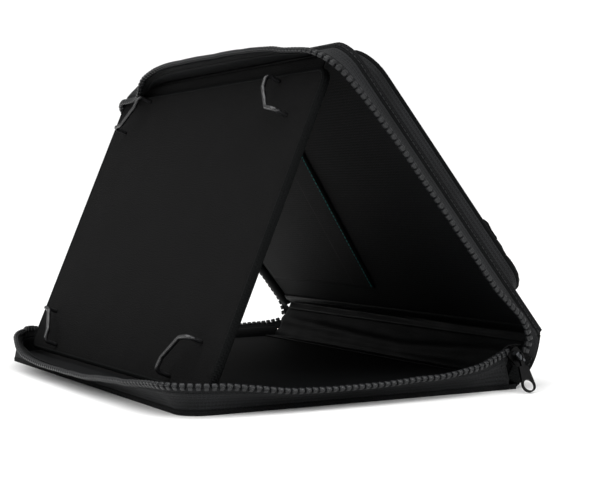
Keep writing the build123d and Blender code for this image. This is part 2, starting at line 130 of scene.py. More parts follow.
def build_studio():
    """A round paper floor, a lit wall that only the lens sees, a dim room and three lamps."""
    sides, wall_height = 48, 3.0
    angles = [2 * math.pi * k / sides for k in range(sides)]
    rim = [(floor_reach * math.cos(a), floor_reach * math.sin(a), 0) for a in angles]
    mesh = bpy.data.meshes.new("floor")
    mesh.from_pydata(rim, [], [list(range(sides))])
    floor = bpy.data.objects.new("floor", mesh)
    paper, tree, shader = start_material("white paper sweep", roughness=0.9, specular_ior_level=0.1)
    grain = add_node(tree, "TexNoise", {"Scale": 180.0, "Detail": 2.0}).outputs["Fac"]
    shades = {0: grain, 6: linear("#F2F2F1"), 7: linear("#F8F8F8")}
    tone = add_node(tree, "Mix", shades, data_type="RGBA")
    tree.links.new(tone.outputs[2], shader.inputs["Base Color"])
    mesh.materials.append(paper)
    wall = bpy.data.meshes.new("backdrop")
    points = rim + [(x, y, wall_height) for x, y, z in rim]
    faces = [(k, (k + 1) % sides, sides + (k + 1) % sides, sides + k) for k in range(sides)]
    wall.from_pydata(points, [], faces)
    backdrop = bpy.data.objects.new("backdrop", wall)
    lit = bpy.data.materials.new("lit white backdrop")
    lit.use_nodes = True
    lit.node_tree.nodes.clear()
    glow = add_node(lit.node_tree, "Emission", {"Color": linear("#FFFFFF"), "Strength": 1.05})
    add_node(lit.node_tree, "OutputMaterial", {"Surface": glow.outputs["Emission"]})
    wall.materials.append(lit)
    backdrop.visible_diffuse = False
    backdrop.visible_glossy = False
    backdrop.visible_shadow = False
    for piece in (floor, backdrop):
        bpy.context.scene.collection.objects.link(piece)
    world = bpy.data.worlds.new("studio")
    world.use_nodes = True
    room = world.node_tree.nodes["Background"].inputs
    room["Color"].default_value = linear("#FFFFFF")
    room["Strength"].default_value = 0.32
    bpy.context.scene.world = world
    bpy.context.scene.view_settings.view_transform = "Standard"
    add_light("overhead", "SUN", (0.12, -0.25, 1.2), 2.9, angle=math.radians(75))
    box = {"shape": "RECTANGLE", "size_y": 0.5}
    add_light("near_softbox", "AREA", (1.3, 0.55, 0.75), 9.0, size=0.7, **box)
    add_light("front_softbox", "AREA", (0.35, -1.3, 0.8), 7.0, size=0.9, **box)


aim_camera()
build_studio()

# ---- Outer cloth ----
# Black 600 denier polyester oxford, cut as one shell with a seam along the middle of the spine.
# It is glued over the boards, turned in at the edge seam, and runs loose round both folds.
weave_spacing = 1.1  # real threads lie 0.6 mm apart; drawn coarser so that they show
seam_margin = 0.66
shell_thickness = 1.0
corner_radius = 13.0
spine_bulge = 4.5
band_overhang = 0.6  # the edge bands stand this far outside the seams
fold_step = 1.5
panel_step = 7.0
edge_steps = (0.0, 0.4, 1.2, 2.6, 5.0)  # rows crowd together where cloth turns over an edge
edge_share = 0.8  # how far a cut edge rounds out, of half the cloth's thickness
shell_split = 18.0  # along the spine, where the two shells are sewn together
MM = 0.001
RUN = "cloth_run"

fold_line = hinges["spine_fold"]
cover_fold = hinges["cover_fold"]
plate_hinge = hinges["plate_fold"]
band_low, band_high = (np.array(v) * 1000 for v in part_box("base_edge_band"))
half_width = (band_high[0] - band_low[0]) / 2 - band_overhang
seam_depth = fold_line[1] - band_low[1] - band_overhang
spine_width = float(np.linalg.norm(cover_fold - fold_line))
spine_up = (cover_fold - fold_line) / spine_width
spine_in = np.array([0, -spine_up[2], spine_up[1]])
cover_angle = math.radians(52.5)
cover_up = np.array([0, -math.cos(cover_angle), math.sin(cover_angle)])
cover_in = np.array([0, -math.sin(cover_angle), -math.cos(cover_angle)])
across_case = np.array([1.0, 0, 0])
# Each half as its fold, then the ways along its panel, into the case and along the spine.
halves = {
    "base": (fold_line, np.array([0, -1.0, 0]), np.array([0, 0, 1.0]), spine_up),
    "cover": (cover_fold, cover_up, cover_in, -spine_up),
}


def local_frame(origin, across, along, inward):
    """Rows that take a flat piece's own millimetres to the case's."""
    return np.array([across, along, inward]), np.array(origin, float)


base_place = local_frame(fold_line, across_case, (0, -1, 0), (0, 0, 1))
cover_place = local_frame(cover_fold, across_case, cover_up, cover_in)
case_place = local_frame((0, 0, 0), across_case, (0, 1, 0), (0, 0, 1))


def unit(rows):
    return rows / np.maximum(np.linalg.norm(rows, axis=-1, keepdims=True), 1e-9)


def add_mesh(name, points, faces, runs, place):
    """A shaded mesh from millimetre points, with the running lengths of its cloth as a map."""
    axes, origin = place
    world = (np.asarray(points, float) @ axes + origin) * MM
    mesh = bpy.data.meshes.new(name)
    mesh.from_pydata(world.tolist(), [], faces)
    if runs is not None:
        layer = mesh.uv_layers.new(name=RUN)
        flat = np.asarray([r for face in runs for r in face], float) * MM
        layer.data.foreach_set("uv", flat.ravel())
    mesh.polygons.foreach_set("use_smooth", [True] * len(mesh.polygons))
    shape = bmesh.new()
    shape.from_mesh(mesh)
    bmesh.ops.recalc_face_normals(shape, faces=shape.faces)
    shape.to_mesh(mesh)
    shape.free()
    made = bpy.data.objects.new(name, mesh)
    bpy.context.scene.collection.objects.link(made)
    return made


def run_along(line):
    """Running length at each point of a line."""
    return np.r_[0, np.cumsum(np.linalg.norm(np.diff(line, axis=0), axis=1))]


def at_run(run, values, place):
    """A line's value at a running length."""
    return np.array([np.interp(place, run, values[:, k]) for k in range(3)])


def sheet_of_cloth(name, grid, low, high, place=case_place, wrap=False):
    """An even layer between two offsets from a grid of points, with rounded cut edges."""
    grid = np.asarray(grid, float)
    n, m = grid.shape[:2]
    if wrap:
        along = np.roll(grid, -1, 0) - np.roll(grid, 1, 0)
    else:
        along = np.gradient(grid, axis=0)
    normal = unit(np.cross(along, np.gradient(grid, axis=1)))
    middle = grid + normal * (low + high) / 2
    points = [*(grid + normal * high).reshape(-1, 3), *(grid + normal * low).reshape(-1, 3)]
    closed = np.concatenate([grid, grid[:1]]) if wrap else grid
    u, v = run_along(closed[:, m // 2]), run_along(grid[n // 2])
    faces, runs = [], []

    def add(corners, spots):
        faces.append(corners)
        runs.append(spots)

    for i in range(n if wrap else n - 1):
        k = (i + 1) % n
        for j in range(m - 1):
            spots = [(u[i], v[j]), (u[i + 1], v[j]), (u[i + 1], v[j + 1]), (u[i], v[j + 1])]
            corners = [i * m + j, k * m + j, k * m + j + 1, i * m + j + 1]
            add(corners, spots)
            add([c + n * m for c in reversed(corners)], spots[::-1])
    if wrap:
        loops = [[(i, 0, i, 1) for i in range(n)], [(i, m - 1, i, m - 2) for i in range(n)]]
    else:
        side = [(0, j, 1, j) for j in range(m - 1)]
        side += [(i, m - 1, i, m - 2) for i in range(n - 1)]
        side += [(n - 1, j, n - 2, j) for j in range(m - 1, 0, -1)]
        side += [(i, 0, i, 1) for i in range(n - 1, 0, -1)]
        loops = [side]
    reach = (high - low) / 2 * edge_share
    for loop in loops:
        first = len(points)
        for i, j, a, b in loop:
            points.append(middle[i, j] + unit(middle[i, j] - middle[a, b]) * reach)
        for k, (i, j, a, b) in enumerate(loop):
            nxt = (k + 1) % len(loop)
            i2, j2 = loop[nxt][:2]
            spots = [(u[i], v[j]), (u[i2], v[j2])]
            spots += [spots[1], spots[0]]
            top = [i * m + j, i2 * m + j2, first + nxt, first + k]
            add(top, spots)
            add([first + k, first + nxt, i2 * m + j2 + n * m, i * m + j + n * m], spots)
    return add_mesh(name, points, faces, runs, place)


def dress(piece, material, body=None, stands_for=()):
    """Gives a piece its finish, the body it rides on and the plain nodes it stands for."""
    piece.data.materials.clear()
    piece.data.materials.append(material)
    if body:
        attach(piece, body)
    if stands_for:
        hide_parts(*stands_for)
    return piece


def woven(tree, warp, weft):
    """Height of a plain weave: round threads, each set over the other in turn."""
    run = add_node(tree, "UVMap", uv_map=RUN).outputs["UV"]
    bands = []
    for direction, spacing in (("X", warp), ("Y", weft)):
        scale = math.pi / 10 / (spacing * MM)
        wave = add_node(tree, "TexWave", {"Vector": run, "Scale": scale}, bands_direction=direction)
        bands.append(wave.outputs["Fac"])
    over = add_node(tree, "TexChecker", {"Vector": run, "Scale": 1 / (warp * MM)})
    mixed = add_node(tree, "Mix", {0: over.outputs["Fac"], 2: bands[0], 3: bands[1]})
    return mixed.outputs[0]


def tint_and_raise(tree, shader, share, dark, light, height, depth, gloss=None):
    """Colour between two tones, relief in millimetres, and a gloss that follows a pattern."""
    tone = add_node(tree, "Mix", {0: share, 6: dark, 7: light}, data_type="RGBA")
    tree.links.new(tone.outputs[2], shader.inputs["Base Color"])
    if gloss:
        rough = add_node(tree, "MapRange", {0: gloss[0], 3: gloss[1], 4: gloss[2]})
        tree.links.new(rough.outputs[0], shader.inputs["Roughness"])
    bump = add_node(tree, "Bump", {"Distance": depth * MM, "Height": height})
    tree.links.new(bump.outputs["Normal"], shader.inputs["Normal"])


def textile(name, painted_shade_and_patch_tone, crest, height, depth, roughness, sheen=0.0, specular=0.2, patch=30.0):
    """A textile: painted shade between its threads, a little uneven in tone, raised by its height map."""
    made, tree, shader = start_material(
        name,
        roughness=roughness,
        sheen_weight=sheen,
        sheen_roughness=0.5,
        specular_ior_level=specular,
    )
    relief = height(tree)
    place = add_node(tree, "TexCoord").outputs["Object"]
    cloud = add_node(tree, "TexNoise", {"Vector": place, "Scale": 1 / (patch * MM), "Detail": 4.0})
    fuzz = add_node(tree, "TexNoise", {"Vector": place, "Scale": 1 / (0.9 * MM), "Detail": 2.0})
    share = add_node(tree, "Math", {0: relief, 1: cloud.outputs["Fac"]}, operation="MULTIPLY")
    mixed = add_node(
        tree, "Math", {0: fuzz.outputs["Fac"], 1: 0.25, 2: relief}, operation="MULTIPLY_ADD"
    )
    gloss = (fuzz.outputs["Fac"], roughness - 0.1, roughness + 0.08)
    # The darker tone is painted shade where the weave's height is low, spread unevenly by the large
    # cloud.
    tones = linear(painted_shade_and_patch_tone), linear(crest)
    tint_and_raise(tree, shader, share.outputs[0], *tones, mixed.outputs[0], depth, gloss)
    return made


oxford_cloth = textile(
    "woven polyester oxford",
    "#08090A",
    "#1A1B1C",
    lambda tree: woven(tree, weave_spacing, weave_spacing),
    0.25,
    0.8,
    sheen=0.015,
    specular=0.1,
)


def spread(reach, step=panel_step):
    """Places from -reach to reach, close together at both edges."""
    inner = reach - edge_steps[-1]
    count = max(2, round(2 * inner / step))
    middle = [-inner + 2 * inner * k / count for k in range(1, count)]
    edge = [reach - f for f in edge_steps]
    return np.array([-e for e in edge] + middle + edge[::-1])


def round_corner(x, s, wide, far, radius):
    """Moves a point of a square sheet onto the sheet with rounded far corners."""
    dx, ds = abs(x) - (wide - radius), s - (far - radius)
    if dx <= 0 or ds <= 0:
        return x, s
    k = max(dx, ds) / math.hypot(dx, ds)
    return math.copysign(wide - radius + dx * k, x), far - radius + ds * k


def to_far_edge(first, far):
    """Even rows from first, then the crowded rows at the far edge."""
    return list(np.arange(first, far - 8, panel_step)) + [far - f for f in edge_steps[::-1]]


def shell_line(s, start, up, inward, spine_way):
    """Middle of the outer cloth at s along a half; below 0 it is round the fold on the spine."""
    if s >= 0:
        return start + up * s + inward * shell_thickness / 2
    swell = spine_bulge * math.sin(math.pi * -s / spine_width)
    return start + spine_way * -s + spine_in * (shell_thickness / 2 - swell)


def bend_over_fold(piece, half):
    """Bakes the placing of a skin that rides a half and the spine into its mesh."""
    start, up, inward, spine_way = halves[half]
    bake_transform(piece)


def build_shell(half, split, stands_for):
    start, up, inward, spine_way = halves[half]
    wide = half_width - seam_margin
    far = seam_depth - seam_margin
    stops = [-split + k * fold_step for k in range(int((split + 9) / fold_step))]
    stops += to_far_edge(stops[-1] + 6, far)
    line = np.array([shell_line(s, start, up, inward, spine_way) for s in stops])
    soft = line.copy()
    for k in range(3):
        soft[1:-1] = (soft[:-2] + soft[1:-1] * 2 + soft[2:]) / 4
        soft[:, 1:] = np.where(np.array(stops)[:, None] > 9, line[:, 1:], soft[:, 1:])
    grid = []
    for s, middle in zip(stops, soft):
        narrow = 1.3 * min(1.0, max(0.0, (3 - s) / 6))
        row = []
        for x in spread(wide):
            x = x * (1 - narrow / wide)
            x2, s2 = round_corner(x, s, wide, far, corner_radius - seam_margin)
            row.append(middle + up * (s2 - s) + across_case * x2)
        grid.append(row)
    piece = sheet_of_cloth(half + "_outer_shell", grid, -shell_thickness / 2, shell_thickness / 2)
    dress(piece, oxford_cloth, None, stands_for)
    bend_over_fold(piece, half)


build_shell("base", shell_split, ["base_outer_panel"])
build_shell("cover", spine_width - shell_split, ["cover_outer_panel", "spine_outer"])

# ---- Edge bands ----
# A folded strip of the same cloth is sewn round each half over the board's edge.
# The base's is a narrow double piping; the cover's is broad, with a line of topstitching.
band_heights = {"base": 2.4, "cover": 4.4}
band_half = 0.55
band_setback = 1.2
spine_end = 15.0
stitch_pitch = 3.0
stitch_length = 2.1
stitch_radius = 0.28

side_run = seam_depth - spine_end - corner_radius
corner_run = math.pi / 2 * corner_radius
front_run = 2 * (half_width - corner_radius)
seam_length = 2 * (side_run + corner_run) + front_run


def seam(t):
    """Point and outward direction at t along the seam, from the near end of the fold."""
    if t > seam_length / 2:
        point, out = seam(seam_length - t)
        return point * (-1, 1, 1), out * (-1, 1, 1)
    if t <= side_run:
        return np.array([half_width, spine_end + t, 0]), np.array([1.0, 0, 0])
    if t <= side_run + corner_run:
        a = (t - side_run) / corner_radius
        out = np.array([math.cos(a), math.sin(a), 0])
        centre = np.array([half_width - corner_radius, seam_depth - corner_radius, 0])
        return centre + out * corner_radius, out
    x = half_width - corner_radius - (t - side_run - corner_run)
    return np.array([x, seam_depth, 0]), np.array([0, 1.0, 0])


def thread(name, colour):
    """Twisted polyester thread: smooth, slightly shiny, with a fine slanting ply, painted darker in its
    grooves as shade.
    """
    made, tree, shader = start_material(name, roughness=0.5, specular_ior_level=0.35)
    place = add_node(tree, "TexCoord").outputs["Object"]
    ply = add_node(tree, "TexWave", {"Vector": place, "Scale": 420.0}, bands_direction="DIAGONAL")
    light = linear(colour)
    # The darker tone, half the thread's colour, is painted shade in the grooves of the ply.
    dark = [0.5 * c for c in light[:3]] + [1.0]
    tint_and_raise(tree, shader, ply.outputs["Fac"], dark, light, ply.outputs["Fac"], 0.1)
    return made


black_thread = thread("black polyester thread", "#1E1F21")
teal_thread = thread("teal polyester thread", "#1C8C86")


def ring_of_points(middle, side, up, radius, sides):
    """Points round a middle, in the plane of two directions."""
    angles = [2 * math.pi * k / sides for k in range(sides)]
    return [middle + (side * math.cos(a) + up * math.sin(a)) * radius for a in angles]


def tube_faces(first, rings, sides):
    """Faces of a closed tube of rings of points, numbered from first."""
    faces = []
    for a in range(first, first + (rings - 1) * sides, sides):
        for k in range(sides):
            n = (k + 1) % sides
            faces.append([a + k, a + n, a + sides + n, a + sides + k])
    last = first + (rings - 1) * sides
    return faces + [list(range(first, first + sides))[::-1], list(range(last, last + sides))]


def stitches(name, line, facing, pitch, length, radius, place):
    """Separate short stitches along a line of points, each bedded a little in the cloth."""
    line, facing = np.asarray(line, float), unit(np.asarray(facing, float))
    run = run_along(line)
    rings, sides = [(-0.5, 0.25), (-0.38, 0.85), (0, 1.0), (0.38, 0.85), (0.5, 0.25)], 6
    points, faces = [], []
    for start in np.arange(pitch / 2, run[-1] - pitch / 2, pitch):
        here = at_run(run, line, start)
        up = unit(at_run(run, facing, start))
        way = unit(at_run(run, line, start + 0.5) - here)
        faces += tube_faces(len(points), len(rings), sides)
        for share, size in rings:
            middle = here + way * length * share + up * radius * (0.9 * size - 0.45)
            points += ring_of_points(middle, np.cross(way, up), up, radius * size, sides)
    return add_mesh(name, points, faces, None, place)


def build_band(half, place):
    height = band_heights[half]
    rows = np.linspace(0.08, 1.0, 9)
    grid = []
    steps = np.arange(band_setback - spine_end, seam_length + spine_end - band_setback + 0.1, 3.0)
    for t in steps:
        point, out = seam(t)
        beads = 2 if half == "base" else 1
        swell = [0.45 * abs(math.sin(beads * math.pi * r)) ** 0.7 for r in rows]
        grid.append([point + out * b + np.array([0, 0, height * r]) for r, b in zip(rows, swell)])
    piece = sheet_of_cloth(half + "_band", grid, -band_half, band_half, place)
    dress(piece, oxford_cloth, half, [half + "_edge_band"])
    if half == "cover":
        line = [row[5] + seam(t)[1] * (band_half + 0.05) for row, t in zip(grid, steps)]
        facing = [seam(t)[1] for t in steps]
        size = (stitch_pitch, stitch_length, stitch_radius)
        sewn = stitches("cover_band_topstitch", line, facing, *size, place)
        dress(sewn, black_thread, half)


build_band("base", base_place)
build_band("cover", cover_place)

# ---- Gussets ----
# The soft wall round each half is ribbed polyester, sewn between the edge band and the zip tape.
# Nothing stiffens it, so it stands at the corners and flops outwards along the sides.
rib_spacing = 1.0
gusset_height = 12.0
tape_height = 4.6
seam_gap = 0.5
wall_step = 2.4
gusset_near_start = -9.0
gusset_run_on = {"base": 19.0, "cover": 14.0}  # the far ends carry on towards the fold
far_reach = 26.0
wall_rows = 8
gusset_end_round = 5.0
end_zone = 30.0  # the walls leave their usual lean this far from the slider

rib_cloth = textile(
    "ribbed polyester gusset cloth",
    "#0D0E0E",
    "#303134",
    lambda tree: woven(tree, rib_spacing, 2.4 * rib_spacing),
    0.22,
    0.74,
    sheen=0.02,
    specular=0.13,
)
# How far each wall leans outwards, in degrees, at distances along its seam from the near end.
base_leans = [(0, 30), (40, 56), (80, 62), (130, 62), (150, 52), (164, 44), (178, 40), (193, 41)]
base_leans += [(210, 46), (248, 55), (290, 65), (370, 67), (400, 63), (417, 53), (438, 34)]
base_leans += [(450, 22), (466, -16), (484, -24), (500, 20), (516, 56), (655, 55), (680, 52)]
cover_leans = [(0, 40), (40, 49), (120, 49), (160, 44), (176, 38), (186, 29), (196, 33), (212, 38)]
cover_leans += [(232, 46), (267, 52), (330, 55), (370, 56), (400, 50), (417, 41), (426, 30)]
cover_leans += [(436, 2), (452, -8), (484, -6), (500, 20), (524, 50), (570, 80), (649, 92), (680, 90)]
slider_low, slider_high = (np.array(v) * 1000 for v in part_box("zip_slider_body"))
slider_centre = (slider_low + slider_high) / 2
# Where the edge of each tape goes near the slider, from its centre, and which way its teeth point.
# Then the same for the far ends, which meet beside the spine, in the case's own millimetres.
tape_ends = {
    "base": (
        [(6.3, -27, -4.3), (2.4, -14, -0.6), (0.5, -7.5, 1.2), (-0.1, -3.6, 2.0)],
        [(0.5, 0, 0.85), (0.25, 0, 0.97), (0.1, 0.1, 0.98), (0, 0.2, 0.95)],
        [(-166.0, 104, 13.4), (-164.5, 112, 15.2)],
        [(-0.7, 0, 0.7), (-0.7, 0.2, 0.7)],
    ),
    "cover": (
        [(4.7, 0.6, 23.4), (3.8, 5.6, 16.8), (3.2, 8.8, 8.6), (1.6, 6.6, 1.6)],
        [(0.7, -0.6, -0.4), (0.45, -0.85, -0.2), (0.15, -0.98, 0.1), (0, -0.85, 0.5)],
        [(-168.0, 115.5, 23.5), (-165.0, 114.5, 18.0)],
        [(-0.95, -0.3, -0.1), (-0.8, -0.5, -0.2)],
    ),
}


class Wall:
    """The soft wall of one half: where its foot, its cloth edge and its tape edge run."""

    def __init__(self, half, place, leans, end_reach):
        self.place, self.lift = place, band_heights[half] + seam_gap
        self.start = -end_reach
        self.last = seam_length + far_reach
        self.seed = len(half)
        self.keys = np.array(leans, float)
        axes, origin = place
        self.gusset_end = seam_length + gusset_run_on[half]
        ts = np.arange(end_zone, seam_length + 12, 2.0)
        usual = [self.usual(t) for t in ts]
        points, ways, far_points, far_ways = (
            [np.array(v, float) for v in values] for values in tape_ends[half]
        )
        edge = [(p + slider_centre - origin) @ axes.T for p in points[::-1]]
        edge += [u[0] for u in usual] + [(p - origin) @ axes.T for p in far_points]
        way = [w @ axes.T for w in ways[::-1]] + [u[1] for u in usual]
        way += [w @ axes.T for w in far_ways]
        near = np.linspace(-end_reach, end_zone - 9, len(points))
        far = np.linspace(ts[-1], self.last, len(far_points) + 1)[1:]
        self.t = np.arange(-end_reach, self.last, 1.0)
        self.edge = self.smooth([*near, *ts, *far], edge)
        self.way = unit(self.smooth([*near, *ts, *far], way))

    def smooth(self, ts, values):
        values = np.array(values)
        line = np.stack([np.interp(self.t, ts, values[:, k]) for k in range(3)], 1)
        for k in range(14):
            line[1:-1] = (line[:-2] + 2 * line[1:-1] + line[2:]) / 4
        return line

    def lean(self, t):
        around = np.linspace(-7, 7, 5)
        even = np.interp(t + around, self.keys[:, 0], self.keys[:, 1]).mean()
        slow = noise.noise(Vector((t / 41, self.seed, 0))) * 2
        quick = noise.noise(Vector((t / 13, self.seed, 5))) * 1.4
        return math.radians(even + slow + quick)

    def usual(self, t):
        point, out = seam(t)
        a = self.lean(t)
        way = out * math.sin(a) + np.array([0, 0, math.cos(a)])
        late = out * math.sin(a * 1.12) + np.array([0, 0, math.cos(a * 1.12)])
        foot = point + np.array([0, 0, self.lift])
        return foot + way * (gusset_height + tape_height), late

    def at(self, t):
        """Foot of the wall, edge of its cloth, edge of its tape and the way up, at t."""
        edge, way = (at_run(self.t, v, t) for v in (self.edge, self.way))
        point, out = seam(t)
        return point + np.array([0, 0, self.lift]), edge - way * tape_height, edge, way

    def gusset_grid(self, share=1.0):
        """Rows of points up the wall, bowed outwards, with rounded ends."""
        grid = []
        start, end = gusset_near_start, self.gusset_end
        for t in np.linspace(start, end, int((end - start) / wall_step)):
            foot, top, edge, way = self.at(t)
            point, out = seam(t)
            lean = 0.5 * math.atan2(float((top - foot) @ out), top[2] - foot[2])
            rise = out * math.sin(lean) + np.array([0, 0, math.cos(lean)])
            knee = foot + rise * gusset_height / 2
            short = max(0.0, gusset_end_round - (t - start)) / gusset_end_round
            tall = share * (1 - 0.75 * (1 - math.sqrt(1 - short * short)))
            row = []
            for r in np.linspace(0, tall, wall_rows):
                crease = 0.35 * noise.noise(Vector((t / 9, r * 2, self.seed + 3)))
                row.append(
                    foot * (1 - r) ** 2
                    + knee * 2 * r * (1 - r)
                    + top * r * r
                    + out * crease * math.sin(math.pi * min(1, r))
                )
            grid.append(row)
        return grid


walls = {
    "base": Wall("base", base_place, base_leans, 10.0),
    "cover": Wall("cover", cover_place, cover_leans, 24.0),
}
lining_weave = 0.9
lining_cloth = textile(
    "satin polyester lining",
    "#08090A",
    "#121315",
    lambda tree: woven(tree, lining_weave, 2 * lining_weave),
    0.08,
    0.7,
    specular=0.1,
    patch=45.0,
)
for half, wall in walls.items():
    outside = sheet_of_cloth(half + "_gusset_cloth", wall.gusset_grid(), -0.5, 0.5, wall.place)
    dress(outside, rib_cloth, half, [half + "_gusset"])
    grid = wall.gusset_grid(0.94)
    inside = sheet_of_cloth(half + "_gusset_facing", grid, -1.16, -0.56, wall.place)
    dress(inside, lining_cloth, half, [half + "_gusset_lining"])

# ---- Zip tapes and teeth ----
# Woven polyester tape with moulded acetal teeth at 3.85 mm pitch, clamped over its thick edge.
# The tape shows between the gusset and the teeth, and runs on past the gusset to the slider.
tooth_pitch = 3.85
tooth_size = (2.3, 2.9, 2.5)  # along the chain, through the tape, up from its edge
head_size = (3.1, 2.1, 1.7)
tooth_bed = 0.7  # how far a tooth grips down over the tape

twill_tape = textile(
    "woven zip tape",
    "#0A0B0C",
    "#1D1E20",
    lambda tree: woven(tree, 0.8, 0.8),
    0.15,
    0.72,
    sheen=0.015,
    specular=0.12,
)


def mottled(name, dark, light, roughness, spread_of_gloss, grain, detail, depth, **constants):
    """An even hard finish with cloudy marks of a size, in its colour, gloss and relief."""
    made, tree, shader = start_material(name, **constants)
    place = add_node(tree, "TexCoord").outputs["Object"]
    scale = 1 / (grain * MM)
    cloud = add_node(tree, "TexNoise", {"Vector": place, "Scale": scale, "Detail": detail})
    cloud = cloud.outputs["Fac"]
    gloss = (cloud, roughness - spread_of_gloss, roughness + 0.1)
    tint_and_raise(tree, shader, cloud, linear(dark), linear(light), cloud, depth, gloss)
    return made


# Moulded plastic keeps faint flow marks about 2 mm long, and a soft shine on every edge.
acetal = mottled(
    "moulded black acetal", "#131415", "#1C1D1F", 0.36, 0.08, 2.0, 3.0, 0.04, specular_ior_level=0.3
)


def tooth_shape():
    """Points and faces of one tooth, x along the chain and z up: a clamp and a rounded head."""
    shape = bmesh.new()
    for size, low, bevel in ((tooth_size, -tooth_bed, 0.45), (head_size, tooth_size[2] - 1.3, 0.7)):
        made = bmesh.ops.create_cube(shape, size=1.0)["verts"]
        for v in made:
            v.co = (v.co.x * size[0], v.co.y * size[1], (v.co.z + 0.5) * size[2] + low)
        edges = list({e for v in made for e in v.link_edges})
        bmesh.ops.bevel(shape, geom=edges, offset=bevel, segments=2, profile=0.6, affect="EDGES")
    shape.verts.ensure_lookup_table()
    points = np.array([v.co for v in shape.verts])
    faces = [[v.index for v in f.verts] for f in shape.faces]
    shape.free()
    return points, faces


def build_chain(half, wall):
    ts = np.arange(wall.start, wall.last, 2.4)
    grid = []
    for t in ts:
        foot, low, edge, way = wall.at(t)
        sink = low - way * (0.4 if 0 < t < seam_length else 2.0)
        grid.append([sink * (1 - r) + edge * r for r in (0, 0.3, 0.6, 0.85, 1)])
    tape = sheet_of_cloth(half + "_zip_tape_cloth", grid, -0.62, 0.1, wall.place)
    dress(tape, twill_tape, half, [half + "_zip_tape"])
    line = wall.edge
    run = run_along(line)
    shape, shape_faces = tooth_shape()
    points, faces = [], []
    for start in np.arange(1.5, run[-1] - 1.5, tooth_pitch):
        here, ahead, way = (
            at_run(run, v, start + d)
            for d, v in ((0, line), (0.6, line), (0, wall.way))
        )
        along = unit(ahead - here)
        up = unit(way - along * (way @ along))
        through = np.cross(up, along)
        faces += [[i + len(points) for i in f] for f in shape_faces]
        points += list(here - through * 0.26 + shape @ np.array([along, through, up]))
    teeth = add_mesh(half + "_chain_teeth", points, faces, None, wall.place)
    dress(teeth, acetal, half, [half + "_zip_teeth"])


for half, wall in walls.items():
    build_chain(half, wall)

# ---- Linings and hidden boards ----
# Each half is a greyboard and a sheet of foam under a satin lining, glued and turned in.
# The boards and foam are wholly covered; the lining is what shows inside.
stack_under_lining = 4.6
lining_thickness = 0.8
lining_inset = 2.2
lining_start = 4.2


def build_lining(half, place):
    wide, far = half_width - lining_inset, seam_depth - lining_inset
    stops = [lining_start, lining_start + 0.4, lining_start + 1.5, *to_far_edge(10, far)]
    level = stack_under_lining + lining_thickness / 2
    grid = []
    for s in stops:
        row = []
        for x in spread(wide):
            x2, s2 = round_corner(x, s, wide, far, corner_radius - lining_inset)
            ripple = 0.25 * noise.noise(Vector((x / 40, s / 30, 2)))
            edge = min(wide - abs(x), far - s, s - lining_start)
            row.append((x2, s2, level + ripple * min(1, max(0, edge) / 12)))
        grid.append(row)
    piece = sheet_of_cloth(half + "_lining_cloth", grid, -0.4, 0.4, place)
    dress(piece, lining_cloth, half, [half + "_lining"])


for half, place in (("base", base_place), ("cover", cover_place)):
    build_lining(half, place)


def filler(name, dark, light, roughness, grain):
    """Greyboard or foam: dull, with a coarse random surface."""
    made, tree, shader = start_material(name, roughness=roughness, specular_ior_level=0.15)
    place = add_node(tree, "TexCoord").outputs["Object"]
    cells = add_node(tree, "TexVoronoi", {"Vector": place, "Scale": 1 / (grain * MM)})
    cells = cells.outputs["Distance"]
    tint_and_raise(tree, shader, cells, linear(dark), linear(light), cells, 0.2)
    return made


greyboard = filler("greyboard", "#4A4743", "#6A6660", 0.9, 1.5)
foam = filler("polyethylene foam", "#2A2B2D", "#3A3C3E", 0.85, 1.0)


def finish_nodes(material, *names):
    """Gives plain nodes a finish as they are."""
    for name in names:
        nodes[name].data.materials.clear()
        nodes[name].data.materials.append(material)


finish_nodes(greyboard, "base_board", "cover_board", "spine_board", "plate_board")
finish_nodes(foam, "base_foam", "cover_foam")

# ---- Spine lining ----
# Soft black polyurethane leathercloth over the spine, lapped onto both linings.
# It is loose enough to fold, so it keeps creases along the spine and catches the light.
leather_lap = 9.0
leather_split = 27.0  # up the spine
leather_rise = 3.05  # spine's outer face to the middle of the leathercloth
leather_half = 0.45
leather_inset = 2.4
fold_clear = 3.2  # it rounds each fold rather than creasing into it


def leathercloth():
    """Polyurethane on a knit: pebbled grain of about 1.2 mm, with a soft broken gloss."""
    made, tree, shader = start_material(
        "polyurethane leathercloth", specular_ior_level=0.1, coat_weight=0.02, coat_roughness=0.3
    )
    place = add_node(tree, "TexCoord").outputs["Object"]
    pebbles = add_node(tree, "TexVoronoi", {"Vector": place, "Scale": 1 / (1.2 * MM)})
    wear = add_node(tree, "TexNoise", {"Vector": place, "Scale": 1 / (16 * MM), "Detail": 5.0})
    wear, pebbles = wear.outputs["Fac"], pebbles.outputs["Distance"]
    tones = linear("#050606"), linear("#0E0F10")
    tint_and_raise(tree, shader, wear, *tones, pebbles, 0.12, (wear, 0.42, 0.6))
    return made


leather = leathercloth()


def crease(s, x, spots, height, width):
    """Height of a soft ridge that follows a slanting line across the case."""
    xs, ss = zip(*spots)
    return height * math.exp(-(((s - float(np.interp(x, xs, ss))) / width) ** 2))


